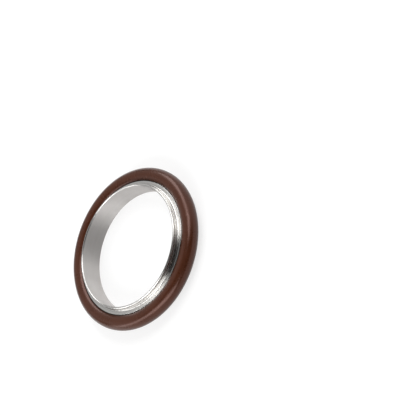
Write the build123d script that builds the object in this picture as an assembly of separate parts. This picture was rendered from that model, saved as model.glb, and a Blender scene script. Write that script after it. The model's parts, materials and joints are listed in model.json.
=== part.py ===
from build123d import *
import math
import os

# A DN 40 vacuum centring ring: a turned stainless ring that carries a moulded
# elastomer O-ring in the groove round its middle. The ring stands between two
# clamped flanges. Its two thin lips drop into the flanges' counterbores, and the
# O-ring seals the flange faces. Everything is a body of revolution about Z, and
# the origin is the centre of the bore, halfway through the ring. Millimetres.

# Steel ring
ring_height = 8.0  # over both lips
lip_radius = 20.5  # the lip that drops into the flange's counterbore
lip_wall = 0.65  # from the bore to the outside of the lip
rib_width = 3.9  # axial width of the groove's rib, which stops the flange faces
rib_wall = 1.45  # radial height of the rib above the lips

# Edge finish of the steel ring
bore_chamfer = 0.2  # at the mouth of the bore
lip_chamfer = 0.2  # on the lip's outer edge
root_fillet = 0.4  # where the lip meets the rib
rim_round = 0.12  # on the rib's two outer edges

# O-ring and its groove
seal_section = 5.33  # diameter of the O-ring's round section
groove_land = 0.2  # axial width of the rim left on each side of the groove
seat_clearance = 0.03  # between the O-ring and the groove all round its section

# Worked out from the sizes above
half_height = ring_height / 2
rib_half = rib_width / 2
bore_radius = lip_radius - lip_wall
rim_radius = lip_radius + rib_wall
groove_mouth = rib_half - groove_land
section_radius = seal_section / 2
groove_radius = section_radius + seat_clearance
seal_centre_radius = rim_radius + math.sqrt(groove_radius**2 - groove_mouth**2)
floor_radius = seal_centre_radius - groove_radius


def turned(outline):
    """Revolves a closed outline, drawn as (radius, height), about Z."""
    return revolve(Plane.XZ * make_face(outline), Axis.Z)


def centering_ring():
    """The steel ring: bore, two lips, and the grooved rib between them."""
    # The rim's round is as large as the land beside the groove leaves room for.
    rim = min(rim_round, 0.9 * groove_land)
    slant = math.cos(math.radians(45))

    bore_corner = (bore_radius, half_height - bore_chamfer)
    end_inner = (bore_radius + bore_chamfer, half_height)
    end_outer = (lip_radius - lip_chamfer, half_height)
    lip_corner = (lip_radius, half_height - lip_chamfer)
    root_top = (lip_radius, rib_half + root_fillet)
    root_middle = (lip_radius + root_fillet * (1 - slant), rib_half + root_fillet * (1 - slant))
    root_foot = (lip_radius + root_fillet, rib_half)
    rim_start = (rim_radius - rim, rib_half)
    rim_middle = (rim_radius - rim * (1 - slant), rib_half - rim * (1 - slant))
    rim_end = (rim_radius, rib_half - rim)
    groove_top = (rim_radius, groove_mouth)
    groove_floor = (floor_radius, 0)
    groove_foot = (rim_radius, -groove_mouth)
    bore_foot = (bore_radius, bore_chamfer - half_height)

    upper = Curve() + [
        Line(bore_corner, end_inner),
        Line(end_inner, end_outer),
        Line(end_outer, lip_corner),
        Line(lip_corner, root_top),
        ThreePointArc(root_top, root_middle, root_foot),
        Line(root_foot, rim_start),
        ThreePointArc(rim_start, rim_middle, rim_end),
        Line(rim_end, groove_top),
    ]
    lower = mirror(upper, Plane.XZ)
    groove = ThreePointArc(groove_top, groove_floor, groove_foot)
    bore = Line(bore_foot, bore_corner)
    return turned(upper.edges() + [groove] + lower.edges() + [bore])


def o_ring():
    """The O-ring, seated in the groove of the steel ring."""
    return Torus(seal_centre_radius, section_radius)


os.makedirs("parts", exist_ok=True)
export_step(centering_ring(), "parts/centering_ring.step")
export_step(o_ring(), "parts/o_ring.step")
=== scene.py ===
import json
import math

import bmesh
import bpy
from mathutils import Matrix, Vector


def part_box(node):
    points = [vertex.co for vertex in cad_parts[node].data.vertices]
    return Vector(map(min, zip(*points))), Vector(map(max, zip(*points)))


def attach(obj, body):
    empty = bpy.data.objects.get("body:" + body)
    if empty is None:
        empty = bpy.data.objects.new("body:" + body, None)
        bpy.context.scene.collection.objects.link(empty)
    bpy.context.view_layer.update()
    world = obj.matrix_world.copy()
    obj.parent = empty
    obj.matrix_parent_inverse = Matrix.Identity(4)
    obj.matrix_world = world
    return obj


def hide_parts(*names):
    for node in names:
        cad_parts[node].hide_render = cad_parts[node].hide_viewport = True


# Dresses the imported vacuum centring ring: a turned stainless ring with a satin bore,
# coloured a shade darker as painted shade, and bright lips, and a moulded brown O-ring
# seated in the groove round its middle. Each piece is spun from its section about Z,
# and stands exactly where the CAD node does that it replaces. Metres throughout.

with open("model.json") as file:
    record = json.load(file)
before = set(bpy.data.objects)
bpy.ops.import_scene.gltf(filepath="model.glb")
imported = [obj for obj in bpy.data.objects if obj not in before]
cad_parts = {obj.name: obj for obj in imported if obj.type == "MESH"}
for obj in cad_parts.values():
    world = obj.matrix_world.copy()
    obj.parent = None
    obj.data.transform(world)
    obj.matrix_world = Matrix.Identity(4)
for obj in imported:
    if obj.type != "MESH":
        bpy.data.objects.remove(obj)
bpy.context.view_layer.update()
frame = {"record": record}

# ---------------------------------------------------------------- sizes

MM = 0.001
UP = Vector((0, 0, 1))
ALONG_Y = Vector((0, 1, 0))
TURN_STEPS = 360  # facets round each piece
GROOVE_STEPS = 24  # facets along the groove's arc
SEAL_STEPS = 96  # facets round the O-ring's section

mounts = {mount["name"]: mount for mount in frame["record"]["mounts"]}
ring_low, ring_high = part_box("centering_ring")
seal_low, seal_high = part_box("o_ring")

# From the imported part
HALF_HEIGHT = ring_high.z
RIM_RADIUS = ring_high.x
LIP_RADIUS = mounts["lip_upper"]["dims"]["r_mm"] * MM
BORE_RADIUS = mounts["bore"]["dims"]["r_mm"] * MM
RIB_HALF = mounts["rib_face_upper"]["pos_m"][2]
SEAL_SECTION = seal_high.z  # radius of the O-ring's round section
SEAL_CENTRE = seal_high.x - SEAL_SECTION

# Edge work, as in the part's own section
EDGE_CHAMFER = 0.2 * MM
ROOT_FILLET = 0.4 * MM
RIM_ROUND = 0.12 * MM
GROOVE_LAND = 0.2 * MM  # rim left on each side of the groove

# Finer than the part's own section
EDGE_BREAK = 0.05 * MM  # what emery takes off a turned corner
LAND_BREAK = 0.02 * MM  # and off the mouth of the groove

# ---------------------------------------------------------------- meshes


def new_piece(name, bm):
    """Makes the finished bmesh an object of the scene, at the origin."""
    mesh = bpy.data.meshes.new(name)
    bm.to_mesh(mesh)
    bm.free()
    piece = bpy.data.objects.new(name, mesh)
    bpy.context.scene.collection.objects.link(piece)
    return piece


def spin_about_bore(bm):
    """Spins a closed section, drawn in the XZ plane, into a closed ring about Z."""
    bmesh.ops.delete(bm, geom=bm.faces[:], context="FACES_ONLY")
    bmesh.ops.spin(
        bm,
        geom=bm.verts[:] + bm.edges[:],
        cent=(0, 0, 0),
        axis=UP,
        angle=2 * math.pi,
        steps=TURN_STEPS,
        use_merge=True,
        use_duplicate=False,
    )
    bmesh.ops.remove_doubles(bm, verts=bm.verts, dist=0.0005 * MM)
    bmesh.ops.recalc_face_normals(bm, faces=bm.faces)
    for face in bm.faces:
        face.smooth = True


def section_corners(bm, radius, height):
    """The corners of a section at this radius and this height above or below its middle."""
    near = 0.01 * MM
    return [
        corner
        for corner in bm.verts
        if abs(corner.co.x - radius) < near and abs(abs(corner.co.z) - height) < near
    ]


def round_corners(bm, radius, height, size, segments):
    """Rounds the matching corners of a section, above and below its middle."""
    bmesh.ops.bevel(
        bm,
        geom=section_corners(bm, radius, height),
        offset=size,
        offset_type="OFFSET",
        affect="VERTICES",
        segments=segments,
        profile=0.5,
        material=-1,
    )


def turned_ring():
    """The steel ring: bore, two lips, and the rib with the O-ring's groove."""
    bm = bmesh.new()
    mouth = RIB_HALF - GROOVE_LAND
    chamfer_height = HALF_HEIGHT - EDGE_CHAMFER
    outline = [
        (BORE_RADIUS, chamfer_height),
        (BORE_RADIUS + EDGE_CHAMFER, HALF_HEIGHT),
        (LIP_RADIUS - EDGE_CHAMFER, HALF_HEIGHT),
        (LIP_RADIUS, chamfer_height),
        (LIP_RADIUS, RIB_HALF),
        (RIM_RADIUS, RIB_HALF),
        (RIM_RADIUS, mouth),
    ]
    upper = [bm.verts.new((radius, 0, height)) for radius, height in outline]
    lower = [bm.verts.new((radius, 0, -height)) for radius, height in outline]
    for half in (upper, lower):
        for pair in zip(half, half[1:]):
            bm.edges.new(pair)
    bm.edges.new((upper[0], lower[0]))

    # The groove is one arc about the centre of the O-ring's section
    groove_arc = 2 * math.atan2(mouth, SEAL_CENTRE - RIM_RADIUS)
    bmesh.ops.spin(
        bm,
        geom=[upper[-1]],
        cent=(SEAL_CENTRE, 0, 0),
        axis=ALONG_Y,
        angle=-groove_arc,
        steps=GROOVE_STEPS,
        use_duplicate=False,
    )
    bmesh.ops.remove_doubles(bm, verts=bm.verts, dist=0.002 * MM)
    bmesh.ops.contextual_create(bm, geom=bm.edges[:])

    round_corners(bm, LIP_RADIUS, RIB_HALF, ROOT_FILLET, 10)
    round_corners(bm, RIM_RADIUS, RIB_HALF, RIM_ROUND, 6)
    round_corners(bm, RIM_RADIUS, mouth, LAND_BREAK, 2)
    round_corners(bm, BORE_RADIUS, chamfer_height, EDGE_BREAK, 3)
    round_corners(bm, BORE_RADIUS + EDGE_CHAMFER, HALF_HEIGHT, EDGE_BREAK, 3)
    round_corners(bm, LIP_RADIUS - EDGE_CHAMFER, HALF_HEIGHT, EDGE_BREAK, 3)
    round_corners(bm, LIP_RADIUS, chamfer_height, EDGE_BREAK, 3)
    spin_about_bore(bm)

    piece = new_piece("turned_ring", bm)
    flats = piece.modifiers.new("flats stay flat", "WEIGHTED_NORMAL")
    flats.mode = "FACE_AREA"
    flats.weight = 50
    return piece


def moulded_seal():
    """The O-ring, round in section."""
    bm = bmesh.new()
    bmesh.ops.create_circle(bm, segments=SEAL_STEPS, radius=SEAL_SECTION, cap_ends=False)
    upright = Matrix.Rotation(math.pi / 2, 3, "X")
    bmesh.ops.rotate(bm, verts=bm.verts, cent=(0, 0, 0), matrix=upright)
    bmesh.ops.translate(bm, verts=bm.verts, vec=(SEAL_CENTRE, 0, 0))
    spin_about_bore(bm)
    return new_piece("moulded_o_ring", bm)


# ---------------------------------------------------------------- node helpers


class Nodes:
    """Short calls for adding and wiring the nodes of one tree."""

    def __init__(self, tree):
        self.tree = tree

    def feed(self, socket, value):
        """Links an output to a socket, or sets the socket to a plain value."""
        if isinstance(value, bpy.types.NodeSocket):
            self.tree.links.new(value, socket)
        else:
            socket.default_value = value

    def add(self, kind, inputs=None, **settings):
        """Adds a node with its settings, and feeds its inputs by name or number."""
        made = self.tree.nodes.new(kind)
        for name, value in settings.items():
            setattr(made, name, value)
        for socket, value in (inputs or {}).items():
            self.feed(made.inputs[socket], value)
        return made

    def maths(self, operation, a, b=0.0):
        made = self.add("ShaderNodeMath", {0: a, 1: b}, operation=operation)
        return made.outputs["Value"]

    def ramp(self, value, low, high, to_low=0.0, to_high=1.0):
        """Carries low..high to to_low..to_high, eased and held at both ends."""
        ends = {"From Min": low, "From Max": high, "To Min": to_low, "To Max": to_high}
        made = self.add(
            "ShaderNodeMapRange", {"Value": value, **ends}, interpolation_type="SMOOTHSTEP"
        )
        return made.outputs["Result"]

    def blend(self, share, a, b):
        """Colour a where share is 0, and colour b where it is 1."""
        made = self.add("ShaderNodeMix", data_type="RGBA")
        for socket, value in zip((0, 6, 7), (share, a, b)):
            self.feed(made.inputs[socket], value)
        return made.outputs[2]

    def bump(self, height, strength, depth, normal=None):
        """Raises the surface by up to depth metres, over another bump if one is given."""
        made = self.add(
            "ShaderNodeBump", {"Strength": strength, "Distance": depth, "Height": height}
        )
        if normal is not None:
            self.feed(made.inputs["Normal"], normal)
        return made.outputs["Normal"]


NUMBER = "NodeSocketFloat"
VECTOR = "NodeSocketVector"


def new_group(name, inputs, outputs):
    """A shader node group with named sockets, its nodes, and its two end nodes."""
    tree = bpy.data.node_groups.new(name, "ShaderNodeTree")
    for socket, kind in inputs:
        tree.interface.new_socket(name=socket, in_out="INPUT", socket_type=kind)
    for socket, kind in outputs:
        tree.interface.new_socket(name=socket, in_out="OUTPUT", socket_type=kind)
    nodes = Nodes(tree)
    return tree, nodes, nodes.add("NodeGroupInput"), nodes.add("NodeGroupOutput")


def handling_group():
    """Soft uneven patches, as handling and cleaning leave on any surface."""
    tree, nodes, given, result = new_group(
        "handling",
        [("Coordinates", VECTOR), ("Patches per metre", NUMBER)],
        [("Patches", NUMBER)],
    )
    noise = nodes.add(
        "ShaderNodeTexNoise",
        {
            "Vector": given.outputs["Coordinates"],
            "Scale": given.outputs["Patches per metre"],
            "Detail": 4.0,
            "Roughness": 0.55,
        },
    )
    nodes.feed(result.inputs["Patches"], nodes.ramp(noise.outputs["Fac"], 0.3, 0.7))
    return tree


def lathe_group():
    """Rings about the bore, the same all the way round, and the radius they lie at."""
    tree, nodes, given, result = new_group(
        "rings_about_bore",
        [("Coordinates", VECTOR), ("Rings per metre", NUMBER)],
        [("Rings", NUMBER), ("Radius", NUMBER), ("Height", NUMBER)],
    )
    place = given.outputs["Coordinates"]
    height = nodes.add("ShaderNodeSeparateXYZ", {"Vector": place}).outputs["Z"]
    flat = nodes.add("ShaderNodeVectorMath", {0: place, 1: (1, 1, 0)}, operation="MULTIPLY")
    length = nodes.add("ShaderNodeVectorMath", {0: flat.outputs["Vector"]}, operation="LENGTH")
    radius = length.outputs["Value"]
    across = nodes.add("ShaderNodeCombineXYZ", {"X": radius, "Y": height})
    noise = nodes.add(
        "ShaderNodeTexNoise",
        {
            "Vector": across.outputs["Vector"],
            "Scale": given.outputs["Rings per metre"],
            "Detail": 2.0,
            "Roughness": 0.6,
        },
    )
    nodes.feed(result.inputs["Rings"], noise.outputs["Fac"])
    nodes.feed(result.inputs["Radius"], radius)
    nodes.feed(result.inputs["Height"], height)
    return tree


HANDLING = handling_group()
LATHE = lathe_group()

# ---------------------------------------------------------------- materials


def new_material(name):
    """A material with its nodes, its shader and the place on the piece."""
    material = bpy.data.materials.new(name)
    material.use_nodes = True
    nodes = Nodes(material.node_tree)
    shader = material.node_tree.nodes["Principled BSDF"]
    place = nodes.add("ShaderNodeTexCoord").outputs["Object"]
    return material, nodes, shader, place


def placed(nodes, group, **inputs):
    """Places a shared effect in a material with values of its own, and gives its outputs."""
    made = nodes.add("ShaderNodeGroup", node_tree=group)
    for name, value in inputs.items():
        nodes.feed(made.inputs[name.replace("_", " ")], value)
    return made.outputs


def turned_stainless():
    """Stainless steel off the lathe: satin inside the bore, bright outside it; the bore's
    colour is also a shade darker, as painted shade.
    """
    material, nodes, shader, place = new_material("turned_stainless")
    patches = placed(nodes, HANDLING, Coordinates=place, Patches_per_metre=140.0)["Patches"]
    lathe = placed(nodes, LATHE, Coordinates=place, Rings_per_metre=3500.0)
    outside = nodes.ramp(lathe["Radius"], BORE_RADIUS + 0.02 * MM, BORE_RADIUS + 0.12 * MM)
    cut = nodes.ramp(lathe["Rings"], 0.35, 0.65)

    # Painted shade: the bore's steel is coloured darker than the outside, standing in for the
    # dimmer light it reflects; its rougher satin finish is real.
    bore_satin_and_painted_shade = nodes.blend(patches, (0.47, 0.452, 0.44, 1), (0.52, 0.502, 0.49, 1))
    bright = nodes.blend(cut, (0.52, 0.51, 0.495, 1), (0.72, 0.71, 0.69, 1))
    nodes.feed(shader.inputs["Base Color"], nodes.blend(outside, bore_satin_and_painted_shade, bright))

    finish = nodes.ramp(outside, 0, 1, 0.5, 0.25)
    from_tool = nodes.ramp(cut, 0, 1, -0.03, 0.03)
    from_hands = nodes.ramp(patches, 0, 1, -0.01, 0.015)
    unevenness = nodes.maths("ADD", from_tool, from_hands)
    nodes.feed(shader.inputs["Roughness"], nodes.maths("ADD", finish, unevenness))
    tool_marks = nodes.bump(lathe["Rings"], strength=0.75, depth=0.012 * MM)
    nodes.feed(shader.inputs["Normal"], tool_marks)
    shader.inputs["Metallic"].default_value = 1

    # Fine rings spread a reflection across themselves, not along
    around = nodes.add("ShaderNodeTangent", direction_type="RADIAL", axis="Z")
    nodes.feed(shader.inputs["Tangent"], around.outputs["Tangent"])
    shader.inputs["Anisotropic"].default_value = 0.9
    shader.inputs["Anisotropic Rotation"].default_value = 0.25
    return material


def brown_fluoroelastomer():
    """Smooth moulded brown rubber with a soft shine, and painted shade near black down in its
    seat.
    """
    material, nodes, shader, place = new_material("brown_fluoroelastomer")
    patches = placed(nodes, HANDLING, Coordinates=place, Patches_per_metre=180.0)["Patches"]
    lathe = placed(nodes, LATHE, Coordinates=place, Rings_per_metre=3000.0)
    # Painted shade: the rubber turns near black where it dips below the rim into the groove,
    # standing in for the shadow of the crevice between rubber and steel.
    clear_of_seat_shade = nodes.ramp(lathe["Radius"], RIM_RADIUS + 0.05 * MM, RIM_RADIUS + 0.5 * MM)
    painted_seat_shade = (0.008, 0.005, 0.004, 1)
    brown = nodes.blend(patches, (0.052, 0.0150, 0.0062, 1), (0.060, 0.0178, 0.0077, 1))
    nodes.feed(shader.inputs["Base Color"], nodes.blend(clear_of_seat_shade, painted_seat_shade, brown))
    nodes.feed(shader.inputs["Roughness"], nodes.ramp(patches, 0, 1, 0.26, 0.31))
    shader.inputs["Specular IOR Level"].default_value = 0.5
    shader.inputs["Specular Tint"].default_value = (1.0, 0.66, 0.6, 1)

    # The mould's parting line, and the skin of the rubber over it
    off_middle = nodes.maths("ABSOLUTE", lathe["Height"])
    parting = nodes.ramp(off_middle, 0.01 * MM, 0.06 * MM, 1, 0)
    line = nodes.bump(parting, strength=0.6, depth=0.015 * MM)
    skin = nodes.add("ShaderNodeTexNoise", {"Vector": place, "Scale": 4000.0, "Detail": 2.0})
    surface = nodes.bump(skin.outputs["Fac"], strength=0.2, depth=0.004 * MM, normal=line)
    nodes.feed(shader.inputs["Normal"], surface)
    return material


# ---------------------------------------------------------------- the object


def dress(piece, material, node):
    """Gives a piece its finish and puts it in the place of its CAD node."""
    piece.data.materials.append(material)
    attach(piece, "root")
    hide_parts(node)


dress(turned_ring(), turned_stainless(), "centering_ring")
dress(moulded_seal(), brown_fluoroelastomer(), "o_ring")

# ---------------------------------------------------------------- camera

TILT = math.radians(47.4)  # from the bore's axis to the line of sight
ROLL = math.radians(70.34)  # how far the camera is rolled about that line
CAMERA_DISTANCE = 3.0
VIEW_WIDTH = 132.15 * MM  # what the camera takes in at the object
AIM_RIGHT = 22.97 * MM  # the middle of the view, off the object's centre
AIM_UP = 13.07 * MM


def place_camera():
    across = Vector((1, 0, 0))
    away = Vector((0, math.cos(TILT), math.sin(TILT)))
    toward = Vector((0, -math.sin(TILT), math.cos(TILT)))
    right = math.cos(ROLL) * across - math.sin(ROLL) * away
    up = math.sin(ROLL) * across + math.cos(ROLL) * away
    lens = bpy.data.cameras.new("camera")
    lens.lens = lens.sensor_width * CAMERA_DISTANCE / VIEW_WIDTH
    lens.clip_start = 0.05
    lens.clip_end = 20
    camera = bpy.data.objects.new("camera", lens)
    bpy.context.scene.collection.objects.link(camera)
    stand = right * AIM_RIGHT + up * AIM_UP + toward * CAMERA_DISTANCE
    facing = Matrix((right, up, toward)).transposed().to_4x4()
    camera.matrix_world = Matrix.Translation(stand) @ facing
    bpy.context.scene.camera = camera


# ---------------------------------------------------------------- studio

STRIP_DISTANCE = 0.8
FLOOR_REACH = 2.0
FLOOR_COLOUR = (0.32, 0.32, 0.32, 1)
FLOOR_GLOW = 0.72  # what brings the lit floor up to white, to the eye and in the steel
DIM = 0.008  # the room away from its horizon and its walls

# Round pale walls: azimuth, elevation, reach and soft edge in degrees, and brightness
WALLS = [
    (90, 45, 35, 12, 0.58),
    (128, 38, 14, 8, 0.9),
    (52, 38, 14, 8, 0.9),
    (188, 16, 34, 10, 0.9),
    (-2, 22, 30, 10, 0.95),
]


def direction(azimuth, elevation):
    """A unit vector: azimuth from +X towards +Y, elevation above the floor, degrees."""
    turn, rise = math.radians(azimuth), math.radians(elevation)
    flat = Vector((math.cos(turn), math.sin(turn), 0)) * math.cos(rise)
    return flat + UP * math.sin(rise)


def white_floor():
    """A white floor that keeps the ring's shadow."""
    bm = bmesh.new()
    bmesh.ops.create_grid(bm, x_segments=1, y_segments=1, size=FLOOR_REACH)
    bmesh.ops.translate(bm, verts=bm.verts, vec=(0, 0, ring_low.z))
    piece = new_piece("floor", bm)
    material = bpy.data.materials.new("white_floor")
    material.use_nodes = True
    nodes = Nodes(material.node_tree)
    shader = material.node_tree.nodes["Principled BSDF"]
    shader.inputs["Base Color"].default_value = FLOOR_COLOUR
    shader.inputs["Roughness"].default_value = 0.9
    shader.inputs["Specular IOR Level"].default_value = 0
    path = nodes.add("ShaderNodeLightPath").outputs
    seen = nodes.maths("MAXIMUM", path["Is Camera Ray"], path["Is Glossy Ray"])
    seen = nodes.maths("MAXIMUM", seen, path["Is Transmission Ray"])
    shader.inputs["Emission Color"].default_value = (1, 1, 1, 1)
    nodes.feed(shader.inputs["Emission Strength"], nodes.maths("MULTIPLY", seen, FLOOR_GLOW))

    # From below the floor is clear, so the underside can be looked at
    below = nodes.add("ShaderNodeNewGeometry").outputs["Backfacing"]
    clear = nodes.add("ShaderNodeBsdfTransparent").outputs["BSDF"]
    either = nodes.add("ShaderNodeMixShader", {0: below, 1: shader.outputs["BSDF"], 2: clear})
    output = material.node_tree.nodes["Material Output"]
    nodes.feed(output.inputs["Surface"], either.outputs["Shader"])
    piece.data.materials.append(material)


def strip_lamp(name, start, end, width, radiance):
    """A soft strip between two directions, facing the ring."""
    first, last = start * STRIP_DISTANCE, end * STRIP_DISTANCE
    middle = (first + last) / 2
    length = (last - first).length
    lamp = bpy.data.lights.new(name, "AREA")
    lamp.shape = "RECTANGLE"
    lamp.size = length
    lamp.size_y = width
    lamp.energy = radiance * math.pi * length * width
    along = (last - first).normalized()
    back = (middle - along * middle.dot(along)).normalized()
    facing = Matrix((along, back.cross(along), back)).transposed().to_4x4()
    stand = bpy.data.objects.new(name, lamp)
    bpy.context.scene.collection.objects.link(stand)
    stand.matrix_world = Matrix.Translation(middle) @ facing


def wall(nodes, toward, azimuth, elevation, reach, soft_edge, brightness):
    """The brightness of one round pale wall, over the dimness of the rest."""
    middle = direction(azimuth, elevation)
    nearness = nodes.add(
        "ShaderNodeVectorMath", {0: toward, 1: middle}, operation="DOT_PRODUCT"
    )
    outer = math.cos(math.radians(reach + soft_edge))
    inner = math.cos(math.radians(reach - soft_edge))
    return nodes.ramp(nearness.outputs["Value"], outer, inner, DIM, brightness)


def studio_room():
    """A dim room, white at the horizon, with pale walls behind and beside the ring."""
    world = bpy.data.worlds.new("studio")
    bpy.context.scene.world = world
    world.use_nodes = True
    nodes = Nodes(world.node_tree)
    toward = nodes.add("ShaderNodeTexCoord").outputs["Generated"]
    height = nodes.add("ShaderNodeSeparateXYZ", {"Vector": toward}).outputs["Z"]
    room = nodes.ramp(height, 0.03, 0.1, 1, 0)
    for place_and_level in WALLS:
        room = nodes.maths("MAXIMUM", room, wall(nodes, toward, *place_and_level))
    background = world.node_tree.nodes["Background"]
    background.inputs["Color"].default_value = (1, 1, 1, 1)
    nodes.feed(background.inputs["Strength"], room)


place_camera()
white_floor()
studio_room()
strip_lamp("left strip", direction(146, 10), direction(181, 42), 0.24, 2.9)
strip_lamp("front left strip", direction(184, 42), direction(243, 22), 0.30, 4.4)
strip_lamp("right strip", direction(42, 18), direction(6, 54), 0.30, 3.9)
strip_lamp("front right strip", direction(2, 56), direction(-34, 46), 0.32, 5.2)
bpy.context.scene.view_settings.view_transform = "Standard"
